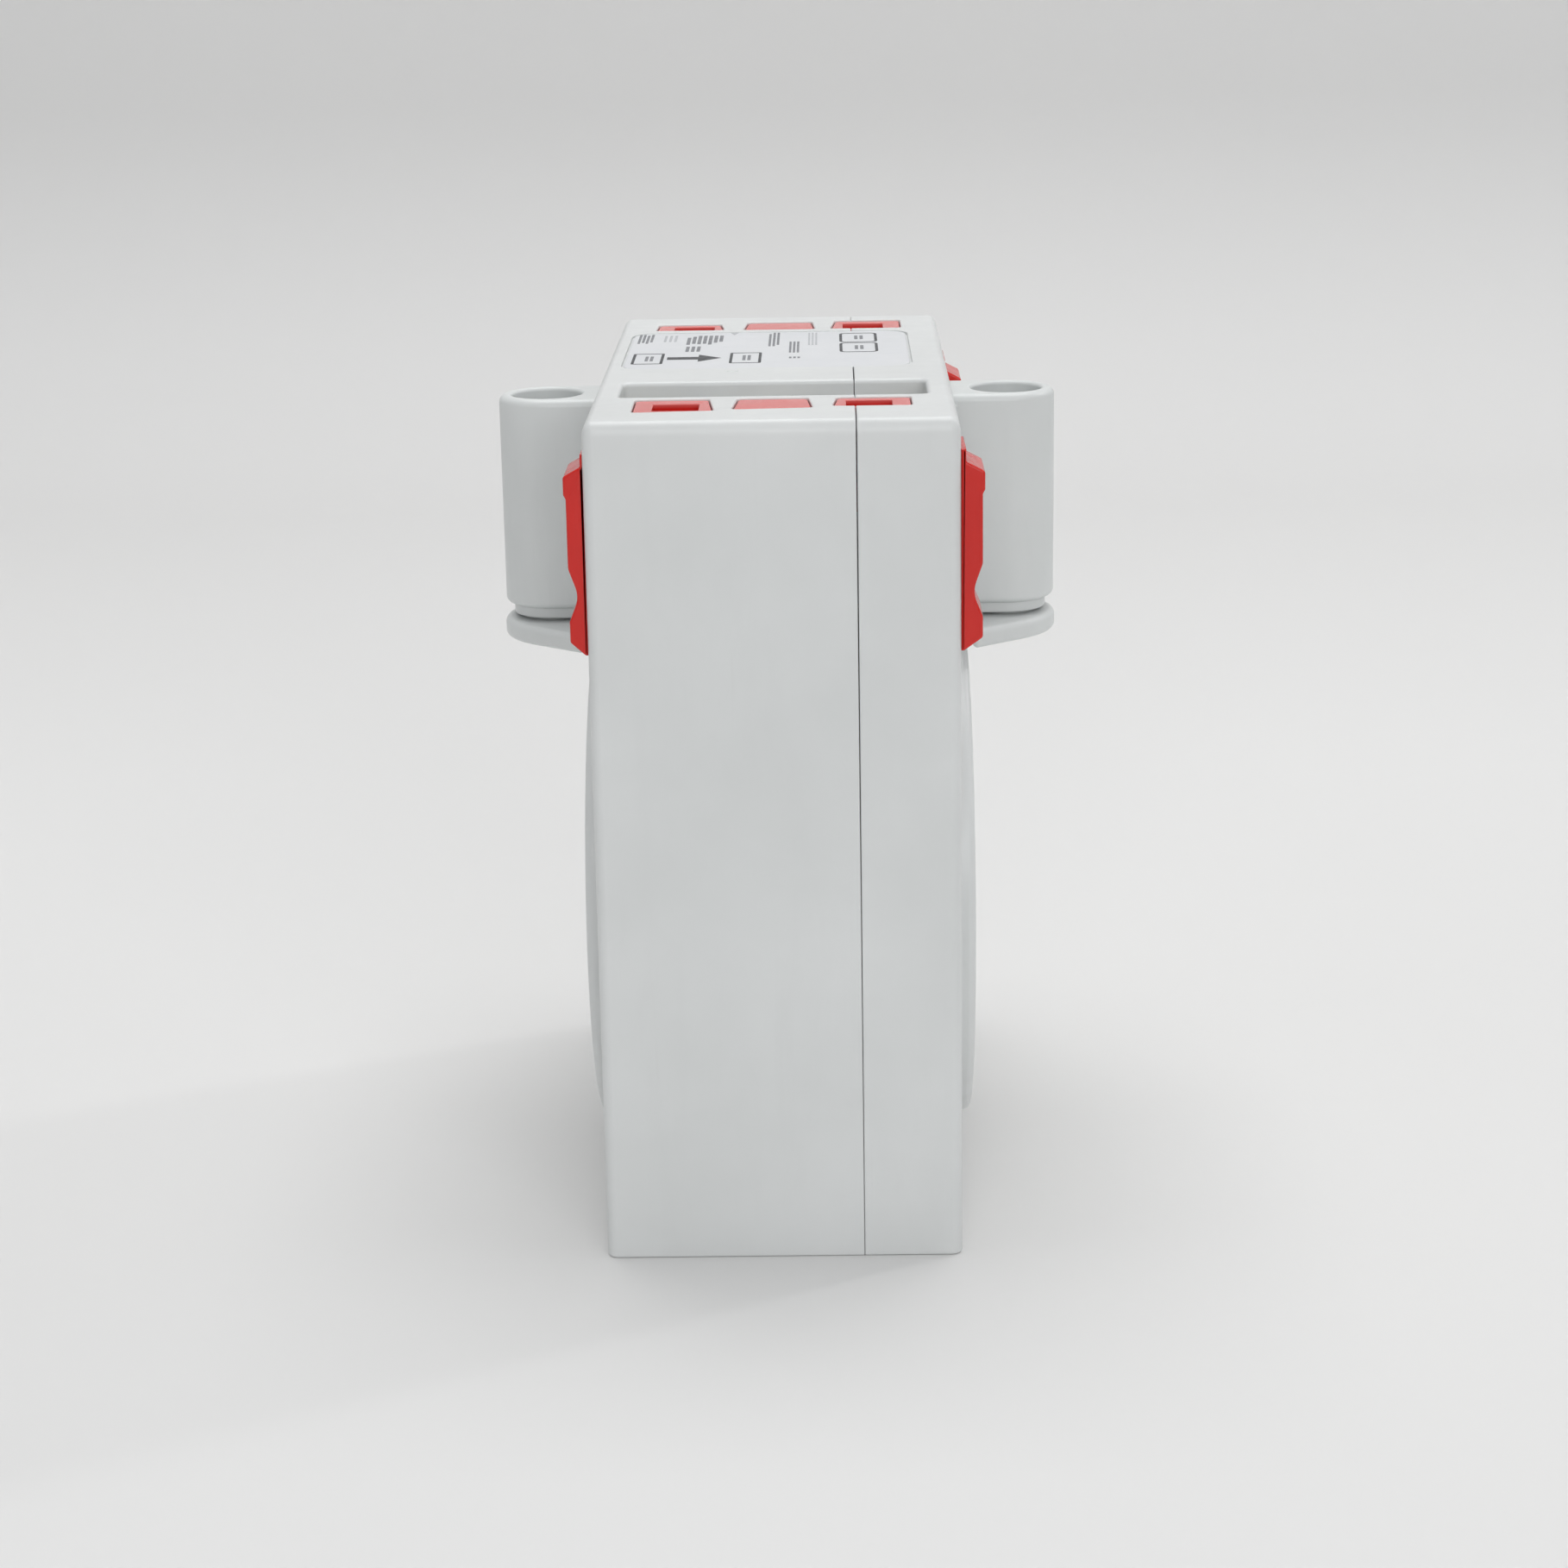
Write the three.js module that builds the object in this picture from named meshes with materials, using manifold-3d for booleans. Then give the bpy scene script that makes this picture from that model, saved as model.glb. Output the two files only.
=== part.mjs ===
// Window-type current transformer in a moulded two-part case, with two screw-driven clamp feet
// for the primary conductor, two draw-up lock clips and a screw-terminal chamber.
// Millimetres. X is the thickness and the primary direction, Y the depth, Z up.
// The origin is on the base, under the centre of the case.
import * as THREE from "three";
import { mergeVertices } from "three/addons/utils/BufferGeometryUtils.js";
import Module from "manifold-3d";

const wasm = await Module();
wasm.setup();

// ---------------------------------------------------------------- driving dimensions
const CASE = { hx: 20, hy: 40, h: 95, wall: 2.2, rSide: 1.2, rTop: 1.1, rBase: 0.4 };
const SEAM_X = 9.0; // plane where cover and main case meet
const SEAM_GAP = 0.1; // each side of that plane
const AXIS_Z = 34; // height of the window axis
const WINDOW = { r: 18, long: 41, short: 11, sleeveR: 23.4 };
const BOSS = { r: 30, proud: 2, wallR: 27.8 };
const RING = {
  tape: [23.7, 31.4, 16.6, 0.3],
  winding: [24.2, 30.9, 16.1, 0.9],
  bobbin: [25.4, 29.7, 14.9, 0.6],
  core: [26.2, 28.9, 14.0],
  cushion: [25.0, 31.0, 16.8, 17.5],
};
const TUBE = { x: 26.8, r: 5.6, bore: 4.1, z0: 65.9, neck: 67.2, z1: 91.9, inset: 0.95 };
const FOOT = { in: 22.4, tip: 32.6, halfY: 12.6, noseR: 9.8, z0: 63.4, z1: 65.6, hubR: 3.7, hubZ: 67.3, webZ: [64.4, 66.0], travel: 12 };
const CSCREW = { headR: 3.6, head0: 84.4, head1: 86.9, r: 2.4, shank0: 66.2, tipR: 1.4, tip0: 63.6 };
const INSERT = { r: 3.85, bore: 2.75, z0: 67.6, z1: 70.8 };
const CLIP = {
  padTop: 94.6, yokeZ: [84.6, 87.8], yokeX: 17.4, legY: { [-1]: [-38.5, -30.5], 1: [25.0, 33.0] }, armY: { [-1]: [-37.4, -31.6], 1: [26.1, 31.9] }, gap: 0.15,
  travel: 3,
};
const CHAMBER = { hx: 17, y0: -23.5, y1: -13.2, floor: 84, skin: 1.4 };
const TERM_X = 8.5;
const LABEL = { x0: -17.7, x1: 15.6, y0: -3.0, y1: 26.0, z0: 94.75, z1: 94.95, r: 2.8 };

// ---------------------------------------------------------------- helpers
function solid(geo, matrix) {
  const g = (geo.index ? geo.toNonIndexed() : geo.clone());
  const bare = new THREE.BufferGeometry().setAttribute("position", g.getAttribute("position"));
  if (matrix) bare.applyMatrix4(matrix);
  const merged = mergeVertices(bare, 1e-4);
  const kept = [];
  const idx = merged.index.array;
  for (let i = 0; i < idx.length; i += 3) {
    const [a, b, c] = [idx[i], idx[i + 1], idx[i + 2]];
    if (a !== b && b !== c && a !== c) kept.push(a, b, c);
  }
  const make = (tri) =>
    new wasm.Manifold(
      new wasm.Mesh({ numProp: 3, vertProperties: merged.attributes.position.array, triVerts: new Uint32Array(tri) }),
    );
  const made = make(kept);
  if (made.volume() >= 0) return made;
  const turned = [];
  for (let i = 0; i < kept.length; i += 3) turned.push(kept[i], kept[i + 2], kept[i + 1]);
  return make(turned);
}
const M = (...c) => new THREE.Matrix4().set(...c);
const TO_X = M(0, 0, 1, 0, 1, 0, 0, 0, 0, 1, 0, 0, 0, 0, 0, 1); // (a, b, depth) -> (depth, a, b)
const TO_Y = M(1, 0, 0, 0, 0, 0, -1, 0, 0, 1, 0, 0, 0, 0, 0, 1); // (a, b, depth) -> (a, -depth, b)
const LATHE_X = M(0, 1, 0, 0, 0, 0, 1, 0, 1, 0, 0, 0, 0, 0, 0, 1);
const shape = (pts) => new THREE.Shape(pts.map((p) => new THREE.Vector2(p[0], p[1])));
const shift = (x, y, z) => new THREE.Matrix4().makeTranslation(x, y, z);

// A prism with an optional bevel of size b on both ends, which stays inside the outline.
function extrude(pts, depth, b = 0, segments = 2) {
  return b
    ? new THREE.ExtrudeGeometry(shape(pts), {
        depth: depth - 2 * b, steps: 1, bevelEnabled: true, bevelThickness: b, bevelSize: b, bevelOffset: -b,
        bevelSegments: segments, curveSegments: 4,
      }).translate(0, 0, b)
    : new THREE.ExtrudeGeometry(shape(pts), { depth, steps: 1, bevelEnabled: false });
}
const prismZ = (pts, z0, z1, b, s) => solid(extrude(pts, z1 - z0, b, s), shift(0, 0, z0));
const prismX = (pts, x0, x1, b, s) => solid(extrude(pts, x1 - x0, b, s), shift(x0, 0, 0).multiply(TO_X));
const prismY = (pts, y0, y1, b, s) => solid(extrude(pts, y1 - y0, b, s), shift(0, y1, 0).multiply(TO_Y));
const box = (x0, x1, y0, y1, z0, z1) =>
  solid(new THREE.BoxGeometry(x1 - x0, y1 - y0, z1 - z0), shift((x0 + x1) / 2, (y0 + y1) / 2, (z0 + z1) / 2));
const cylZ = (x, y, r, z0, z1, n = 20) =>
  solid(new THREE.CylinderGeometry(r, r, z1 - z0, n).rotateX(Math.PI / 2), shift(x, y, (z0 + z1) / 2));
const cylX = (y, z, r, x0, x1, n = 48) =>
  solid(new THREE.CylinderGeometry(r, r, x1 - x0, n).rotateZ(Math.PI / 2), shift((x0 + x1) / 2, y, z));
const latheZ = (x, y, pts, n = 20) =>
  solid(new THREE.LatheGeometry(pts.map((p) => new THREE.Vector2(p[0], p[1])), n).rotateX(Math.PI / 2), shift(x, y, 0));
const latheX = (pts, n = 32) =>
  solid(new THREE.LatheGeometry(pts.map((p) => new THREE.Vector2(p[0], p[1])), n), shift(0, 0, AXIS_Z).multiply(LATHE_X));
const all = (list) => list.reduce((a, b) => a.add(b));
const mirrorX = new THREE.Matrix4().makeScale(-1, 1, 1);

// A rectangle with rounded corners; r may be one radius or four (from low-low, anticlockwise).
function roundRect(x0, x1, y0, y1, r, n = 3) {
  const rs = Array.isArray(r) ? r : [r, r, r, r];
  const corners = [[x0, y0, 1, 1, 180], [x1, y0, -1, 1, 270], [x1, y1, -1, -1, 0], [x0, y1, 1, -1, 90]];
  const pts = [];
  corners.forEach(([x, y, sx, sy, a0], k) => {
    const c = [x + sx * rs[k], y + sy * rs[k]];
    if (rs[k] < 1e-6) return pts.push([x, y]);
    for (let i = 0; i <= n; i++) {
      const a = ((a0 + (90 * i) / n) * Math.PI) / 180;
      pts.push([c[0] + rs[k] * Math.cos(a), c[1] + rs[k] * Math.sin(a)]);
    }
  });
  return pts;
}

// A BufferGeometry from a solid, mirrored if asked.
function geometry(s, mirror) {
  const mesh = s.getMesh();
  const g = new THREE.BufferGeometry();
  const pos = new Float32Array((mesh.vertProperties.length / mesh.numProp) * 3);
  for (let i = 0; i < pos.length / 3; i++)
    for (let k = 0; k < 3; k++) pos[3 * i + k] = mesh.vertProperties[mesh.numProp * i + k];
  const index = Array.from(mesh.triVerts);
  g.setAttribute("position", new THREE.BufferAttribute(pos, 3));
  if (mirror) {
    g.applyMatrix4(mirror);
    for (let i = 0; i < index.length; i += 3) [index[i + 1], index[i + 2]] = [index[i + 2], index[i + 1]];
  }
  g.setIndex(index);
  g.computeVertexNormals();
  return g;
}

const LOOK = {
  case: { color: 0xd5d8d7, roughness: 0.34, metalness: 0 },
  red: { color: 0xc8281f, roughness: 0.38, metalness: 0 },
  steel: { color: 0x9a9c9e, roughness: 0.35, metalness: 1 },
  brass: { color: 0xb8954a, roughness: 0.35, metalness: 1 },
  copper: { color: 0xb06a3c, roughness: 0.4, metalness: 1 },
  core: { color: 0x5d6064, roughness: 0.5, metalness: 0.8 },
  bobbin: { color: 0x2c2d30, roughness: 0.6, metalness: 0 },
  tape: { color: 0xd9c65a, roughness: 0.5, metalness: 0 },
  foam: { color: 0x6c6e72, roughness: 0.95, metalness: 0 },
  label: { color: 0xf0f1f2, roughness: 0.45, metalness: 0 },
  insulator: { color: 0xc9cccb, roughness: 0.5, metalness: 0 },
};
const part = new THREE.Group();
function put(name, s, look, mirror, parent = part) {
  const mesh = new THREE.Mesh(geometry(s, mirror), new THREE.MeshStandardMaterial(LOOK[look]));
  mesh.name = name;
  parent.add(mesh);
  return mesh;
}

// ---------------------------------------------------------------- case and cover
const block = prismX(roundRect(-CASE.hy, CASE.hy, 0, CASE.h, [CASE.rBase, CASE.rBase, CASE.rTop, CASE.rTop]), -CASE.hx, CASE.hx)
  .intersect(prismZ(roundRect(-CASE.hx, CASE.hx, -CASE.hy, CASE.hy, CASE.rSide), -1, CASE.h + 1))
  .intersect(prismY(roundRect(-CASE.hx, CASE.hx, 0, CASE.h, [CASE.rBase, CASE.rBase, CASE.rTop, CASE.rTop]), -CASE.hy - 1, CASE.hy + 1));
const bossX = CASE.hx + BOSS.proud;
const boss = latheX(
  [[0, -bossX], [BOSS.r - 0.6, -bossX], [BOSS.r, -bossX + 0.6], [BOSS.r, bossX - 0.6], [BOSS.r - 0.6, bossX], [0, bossX]], 48);
const outer = block.add(boss);

const inX = CASE.hx - CASE.wall, inY = CASE.hy - CASE.wall, inTop = CASE.h - CASE.wall;
const sleeve = cylX(0, AXIS_Z, WINDOW.sleeveR, -bossX - 1, bossX + 1, 48);
const bossHollow = cylX(0, AXIS_Z, BOSS.wallR, -(bossX - CASE.wall), bossX - CASE.wall, 48);
const chamberBlock = box(-CHAMBER.hx - CHAMBER.skin, CHAMBER.hx + CHAMBER.skin, CHAMBER.y0 - CHAMBER.skin, CHAMBER.y1 + CHAMBER.skin,
  CHAMBER.floor - CHAMBER.skin, CASE.h);
// Ledges that the lock clips rest on, in the four upper corners.
const ledge = (sx, sy) =>
  box(Math.min(sx * 13.5, sx * (inX + 0.5)), Math.max(sx * 13.5, sx * (inX + 0.5)), Math.min(sy * 28, sy * (inY + 0.5)),
    Math.max(sy * 28, sy * (inY + 0.5)), 82.2, CLIP.yokeZ[0] - 0.3);
const cavity = box(-inX, inX, -inY, inY, CASE.wall, inTop)
  .add(bossHollow)
  .subtract(sleeve)
  .subtract(chamberBlock)
  .subtract(all([ledge(-1, -1), ledge(1, -1), ledge(-1, 1), ledge(1, 1)]));

const bar = WINDOW.long / 2, thin = WINDOW.short / 2;
const through = bossX + 2;
const windowCut = cylX(0, AXIS_Z, WINDOW.r, -through, through, 48)
  .add(prismX(roundRect(-bar, bar, AXIS_Z - thin, AXIS_Z + thin, 0.8, 2), -through, through))
  .add(prismX(roundRect(-thin, thin, AXIS_Z - bar, AXIS_Z + bar, 0.8, 2), -through, through));

const chamberCut = prismZ(roundRect(-CHAMBER.hx, CHAMBER.hx, CHAMBER.y0, CHAMBER.y1, 0.6, 2), CHAMBER.floor, CASE.h + 1);
// Slots in the chamber floor for the terminal tails.
const tailSlot = (s) => box(Math.min(s * 12.6, s * 14.8), Math.max(s * 12.6, s * 14.8), -20.5, -15.5, CHAMBER.floor - 4, CHAMBER.floor + 1);

// Openings in the top for the pads of a lock clip, and in the broad walls for its arms.
// Each pad is [x0, x1, taper at x0, taper at x1, y of its -Y edge at x0 and at x1, y of its +Y edge].
const PADS = {
  [-1]: [[-14.9, -6.3, 0.0, 0.7, -33.7, -33.1, -25.3], [-4.2, 4.3, 0.5, 0.5, -32.4, -31.9, -25.3], [6.6, 15.0, 0.5, 0.0, -31.0, -31.1, -25.3]],
  1: [[-15.2, -6.9, 0.2, 0.5, 28.3, 28.3, 33.5], [-4.3, 4.4, 0.4, 0.4, 28.1, 28.1, 34.7], [6.5, 15.1, 0.6, 0.0, 28.3, 28.3, 35.4]],
};
function padOutline([x0, x1, t0, t1, ya, yb, yc], grow) {
  return [[x0 - grow, ya - grow], [x1 + grow, yb - grow], [x1 + grow - t1, yc + grow], [x0 - grow + t0, yc + grow]];
}
function clipCut(sy) {
  const a = CLIP.armY[sy][0] - 0.6, b = CLIP.armY[sy][1] + 0.6;
  return all([
    ...PADS[sy].map((p) => prismZ(padOutline(p, 0.3), inTop - 1, CASE.h + 1)),
    box(-CASE.hx - 1, -inX + 1, a, b, CLIP.yokeZ[0] - 0.3, CLIP.yokeZ[1] + CLIP.travel + 0.3),
    box(inX - 1, CASE.hx + 1, a, b, CLIP.yokeZ[0] - 0.3, CLIP.yokeZ[1] + CLIP.travel + 0.3),
  ]);
}
const labelRecess = prismZ(roundRect(LABEL.x0 - 0.4, LABEL.x1 + 0.4, LABEL.y0 - 0.4, LABEL.y1 + 0.35, LABEL.r + 0.4, 3), LABEL.z0 - 0.05, CASE.h + 1);

const shell = outer
  .subtract(cavity)
  .subtract(windowCut)
  .subtract(chamberCut)
  .subtract(tailSlot(-1))
  .subtract(tailSlot(1))
  .subtract(clipCut(-1))
  .subtract(clipCut(1))
  .subtract(labelRecess);
put("main_case", shell.intersect(box(-40, SEAM_X - SEAM_GAP, -60, 60, -5, 120)), "case");
put("case_cover", shell.intersect(box(SEAM_X + SEAM_GAP, 40, -60, 60, -5, 120)), "case");

// ---------------------------------------------------------------- ring core, winding and insulation
const rect = (r0, r1, x0, x1) => [[r0, x0], [r1, x0], [r1, x1], [r0, x1], [r0, x0]];
{
  const [r0, r1, w] = RING.core;
  put("core_ring", latheX(rect(r0, r1, -w, w)), "core");
}
{
  const [r0, r1, w, t] = RING.bobbin, s = 0.2;
  const half = latheX([[r0, -s], [r0, -w], [r1, -w], [r1, -s], [r1 - t, -s], [r1 - t, -w + t], [r0 + t, -w + t], [r0 + t, -s], [r0, -s]]);
  put("bobbin_left", half, "bobbin");
  put("bobbin_right", half, "bobbin", mirrorX);
}
// A wrap with a C-shaped section, open in a narrow slit at its bore.
function wrap([r0, r1, w, t], s) {
  return latheX([
    [r0, s], [r0, w], [r1, w], [r1, -w], [r0, -w], [r0, -s], [r0 + t, -s], [r0 + t, -w + t], [r1 - t, -w + t],
    [r1 - t, w - t], [r0 + t, w - t], [r0 + t, s], [r0, s],
  ]);
}
put("secondary_winding", wrap(RING.winding, 0.4), "copper");
put("winding_tape", wrap(RING.tape, 0.4), "tape");
{
  const [r0, r1, x0, x1] = RING.cushion;
  const ring = latheX(rect(r0, r1, -x1, -x0));
  put("cushion_ring_left", ring, "foam");
  put("cushion_ring_right", ring, "foam", mirrorX);
}

// ---------------------------------------------------------------- terminals
const CARRIER = { z0: 84.3, z1: 86.8, rib: 91 };
const carrier = prismZ(roundRect(-CHAMBER.hx + 0.4, CHAMBER.hx - 0.4, CHAMBER.y0 + 0.4, CHAMBER.y1 - 0.4, 0.4, 1), CARRIER.z0, CARRIER.z1)
  .add(box(-0.8, 0.8, CHAMBER.y0 + 0.4, CHAMBER.y1 - 0.4, CARRIER.z0 + 1, CARRIER.rib))
  .subtract(tailSlot(-1).add(box(-14.8, -12.6, -20.5, -15.5, 84, 88)))
  .subtract(tailSlot(1).add(box(12.6, 14.8, -20.5, -15.5, 84, 88)))
  .subtract(cylZ(-TERM_X, -18, 2.35, 80, 90, 16))
  .subtract(cylZ(TERM_X, -18, 2.35, 80, 90, 16));
put("terminal_carrier", carrier, "insulator");
const plate = box(-14.2, -3.2, -21.6, -14.4, 87.0, 88.2)
  .add(box(-14.2, -13.2, -20.0, -16.0, 78.0, 88.2))
  .subtract(cylZ(-TERM_X, -18, 2.3, 86, 90, 16));
put("terminal_plate_s1", plate, "brass");
put("terminal_plate_s2", plate, "brass", mirrorX);
const washer = prismZ(roundRect(-TERM_X - 3.6, -TERM_X + 3.6, -21.6, -14.4, 0.6, 1), 88.4, 89.1, 0).subtract(cylZ(-TERM_X, -18, 2.3, 88, 90, 16));
put("terminal_washer_s1", washer, "steel");
put("terminal_washer_s2", washer, "steel", mirrorX);
const cross = (x, y, z0, z1, long, wide) =>
  box(x - long, x + long, y - wide, y + wide, z0, z1).add(box(x - wide, x + wide, y - long, y + long, z0, z1));
const tscrew = latheZ(-TERM_X, -18, [[0, 85.2], [1.6, 85.2], [2.0, 85.6], [2.0, 89.3], [3.3, 89.3], [3.3, 90.9], [2.8, 91.5], [0, 91.6]], 16)
  .subtract(cross(-TERM_X, -18, 90.2, 92, 2.0, 0.4));
put("terminal_screw_s1", tscrew, "steel");
put("terminal_screw_s2", tscrew, "steel", mirrorX);
// Leads from the foot of each terminal tail down to the winding.
const leadPath = new THREE.CatmullRomCurve3([
  new THREE.Vector3(-13.7, -18, 77.7), new THREE.Vector3(-13.4, -17.2, 74.5), new THREE.Vector3(-11.5, -13.5, 70.5), new THREE.Vector3(-10, -10.5, 67),
]);
const ringPts = (r, n) => Array.from({ length: n }, (_, i) => [r * Math.cos((2 * Math.PI * i) / n), r * Math.sin((2 * Math.PI * i) / n)]);
const lead = solid(new THREE.ExtrudeGeometry(shape(ringPts(0.7, 8)), { steps: 10, extrudePath: leadPath, bevelEnabled: false }));
put("winding_lead_s1", lead, "copper");
put("winding_lead_s2", lead, "copper", mirrorX);

// ---------------------------------------------------------------- guide tubes, threaded inserts, clamp screws and feet
function uOutline(cx, r, back, n = 14) {
  const pts = [[back, -r]];
  for (let i = 0; i <= n; i++) {
    const a = -Math.PI / 2 + (Math.PI * i) / n;
    pts.push([cx + r * Math.cos(a), r * Math.sin(a)]);
  }
  pts.push([back, r]);
  return pts;
}
const tubeBack = CASE.hx + 0.1;
const tube = prismZ(uOutline(TUBE.x, TUBE.r, 17), TUBE.neck, TUBE.z1, 1.0, 2)
  .add(prismZ(uOutline(TUBE.x, TUBE.r - TUBE.inset, 17), TUBE.z0, TUBE.neck + 1.5))
  .intersect(box(tubeBack, 60, -20, 20, 0, 120))
  .subtract(cylZ(TUBE.x, 0, TUBE.bore, 60, 100, 24));
put("guide_tube_right", tube, "case");
put("guide_tube_left", tube, "case", mirrorX);

const insert = latheZ(TUBE.x, 0, [[INSERT.bore, INSERT.z0], [INSERT.r, INSERT.z0], [INSERT.r, INSERT.z1], [INSERT.bore, INSERT.z1], [INSERT.bore, INSERT.z0]], 24);
put("threaded_insert_right", insert, "brass");
put("threaded_insert_left", insert, "brass", mirrorX);

const cscrew = latheZ(TUBE.x, 0, [
  [0, CSCREW.tip0], [CSCREW.tipR, CSCREW.tip0], [CSCREW.tipR, CSCREW.shank0], [CSCREW.r, CSCREW.shank0], [CSCREW.r, CSCREW.head0],
  [CSCREW.headR, CSCREW.head0], [CSCREW.headR, CSCREW.head1 - 0.7], [CSCREW.headR - 0.6, CSCREW.head1], [0, CSCREW.head1],
], 20).subtract(cross(TUBE.x, 0, CSCREW.head1 - 1.6, CSCREW.head1 + 1, 2.3, 0.45));
put("clamp_screw_right", cscrew, "steel");
put("clamp_screw_left", cscrew, "steel", mirrorX);

// D-shaped foot: a round nose that runs out in straight flanks to the inner edge.
const footOutline = (() => {
  const r = FOOT.noseR, cx = FOOT.tip - r, pts = [[FOOT.in, -FOOT.halfY]];
  const n = 14, a0 = -53, a1 = 53;
  for (let i = 0; i <= n; i++) {
    const a = ((a0 + ((a1 - a0) * i) / n) * Math.PI) / 180;
    pts.push([cx + r * Math.cos(a), r * Math.sin(a)]);
  }
  pts.push([FOOT.in, FOOT.halfY]);
  return pts;
})();
const foot = prismZ(footOutline, FOOT.z0, FOOT.z1, 0.5, 2)
  .add(cylZ(TUBE.x, 0, FOOT.hubR, FOOT.z1 - 0.5, FOOT.hubZ, 20))
  .subtract(cylZ(TUBE.x, 0, 1.7, 60, 70, 16))
  .subtract(cylZ(TUBE.x, 0, 2.7, FOOT.webZ[1], 70, 16))
  .subtract(cylZ(TUBE.x, 0, 2.6, 60, FOOT.webZ[0], 16));
put("clamp_foot_right", foot, "case");
put("clamp_foot_left", foot, "case", mirrorX);
const retainer = latheZ(TUBE.x, 0, [[1.6, 63.6], [2.3, 63.6], [2.3, 64.2], [1.6, 64.2], [1.6, 63.6]], 16);
put("foot_retainer_right", retainer, "steel");
put("foot_retainer_left", retainer, "steel", mirrorX);

// ---------------------------------------------------------------- lock clips
// A yoke under the top wall, three pads up through it, and a leg outside each broad face.
const legX = CASE.hx + CLIP.gap;
const legProfile = [
  [0.15, 69.5], [0.35, 69.5], [2.15, 70.9], [2.15, 73.2], [1.45, 74.7], [1.2, 75.9], [1.45, 77.1], [2.15, 78.8], [2.15, 86.6],
  [2.4, 87.1], [2.4, 88.9], [2.2, 89.3], [0.6, 90.0], [0.6, 91.4], [0.15, 91.4],
].map(([p, z]) => [CASE.hx + p, z]);
function clip(sy) {
  const [legA, legB] = CLIP.legY[sy];
  const [armA, armB] = CLIP.armY[sy];
  const [yokeA, yokeB] = sy < 0 ? [armA, PADS[-1][1][6]] : [armA, 36.5];
  const pocket = (x0, x1, y0, y1) => box(x0, x1, y0, y1, CLIP.padTop - 3.2, CLIP.padTop + 1);
  const pockets = sy < 0 ? [[-12.9, -7.9, -32.0, -27.6], [8.0, 13.0, -30.5, -26.6]] : [[-13.1, -8.1, 28.9, 32.2], [8.0, 13.0, 28.9, 33.6]];
  return all([
    box(-CLIP.yokeX, CLIP.yokeX, yokeA, yokeB, ...CLIP.yokeZ),
    ...PADS[sy].map((p) => prismZ(padOutline(p, 0), CLIP.yokeZ[1] - 0.5, CLIP.padTop)),
    box(-legX - 0.3, -CLIP.yokeX + 0.5, armA, armB, ...CLIP.yokeZ),
    box(CLIP.yokeX - 0.5, legX + 0.3, armA, armB, ...CLIP.yokeZ),
    prismY(legProfile, legA, legB),
    prismY(legProfile.map(([x, z]) => [-x, z]).reverse(), legA, legB),
  ])
    .subtract(pocket(...pockets[0]))
    .subtract(pocket(...pockets[1]));
}
put("lock_clip_near", clip(-1), "red");
put("lock_clip_far", clip(1), "red");

// ---------------------------------------------------------------- label
put("rating_label", prismZ(roundRect(LABEL.x0, LABEL.x1, LABEL.y0, LABEL.y1, LABEL.r, 3), LABEL.z0, LABEL.z1), "label");

export default part;
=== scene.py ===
# Window-type current transformer: the visual model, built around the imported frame.
import math

import bmesh
import bpy
from mathutils import Matrix, Vector


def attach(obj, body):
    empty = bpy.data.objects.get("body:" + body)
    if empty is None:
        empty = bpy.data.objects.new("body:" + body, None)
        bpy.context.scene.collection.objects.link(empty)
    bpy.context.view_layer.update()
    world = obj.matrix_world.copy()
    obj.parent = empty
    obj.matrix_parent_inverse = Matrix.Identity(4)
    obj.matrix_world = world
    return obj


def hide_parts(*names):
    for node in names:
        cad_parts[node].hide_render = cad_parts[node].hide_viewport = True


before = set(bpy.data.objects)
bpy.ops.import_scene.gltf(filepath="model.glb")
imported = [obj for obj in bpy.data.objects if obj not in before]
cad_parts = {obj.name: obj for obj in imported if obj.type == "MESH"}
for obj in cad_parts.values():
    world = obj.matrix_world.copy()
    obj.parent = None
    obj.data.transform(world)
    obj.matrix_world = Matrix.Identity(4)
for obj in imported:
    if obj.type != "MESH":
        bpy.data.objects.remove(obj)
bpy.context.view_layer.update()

MM = 0.001
# ------------------------------------------------------------------ sizes, in mm, the same as the frame's
HX, HY, H = 20.0, 40.0, 95.0
WALL = 2.2
SEAM = 9.0
AZ = 34.0
BOSS_R, BOSS_X = 30.0, 22.0
TUBE_X, TUBE_R, TUBE_BORE, TUBE_TOP = 26.8, 5.6, 4.1, 91.9

# ------------------------------------------------------------------ mesh helpers (all in mm until made)


def arc(cx, cy, r, a0, a1, n):
    return [(cx + r * math.cos(math.radians(a0 + (a1 - a0) * i / n)), cy + r * math.sin(math.radians(a0 + (a1 - a0) * i / n))) for i in range(n + 1)]


def round_rect(x0, x1, y0, y1, r, n=6):
    return (arc(x0 + r, y0 + r, r, 180, 270, n) + arc(x1 - r, y0 + r, r, 270, 360, n)
            + arc(x1 - r, y1 - r, r, 0, 90, n) + arc(x0 + r, y1 - r, r, 90, 180, n))


def clean(pts, tol=1e-4):
    out = []
    for p in pts:
        if not out or math.dist(p, out[-1]) > tol:
            out.append(p)
    if len(out) > 1 and math.dist(out[0], out[-1]) <= tol:
        out.pop()
    return out


def area(pts):
    return 0.5 * sum(pts[i][0] * pts[(i + 1) % len(pts)][1] - pts[(i + 1) % len(pts)][0] * pts[i][1] for i in range(len(pts)))


def ccw(pts):
    pts = clean(pts)
    return pts if area(pts) > 0 else pts[::-1]


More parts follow.
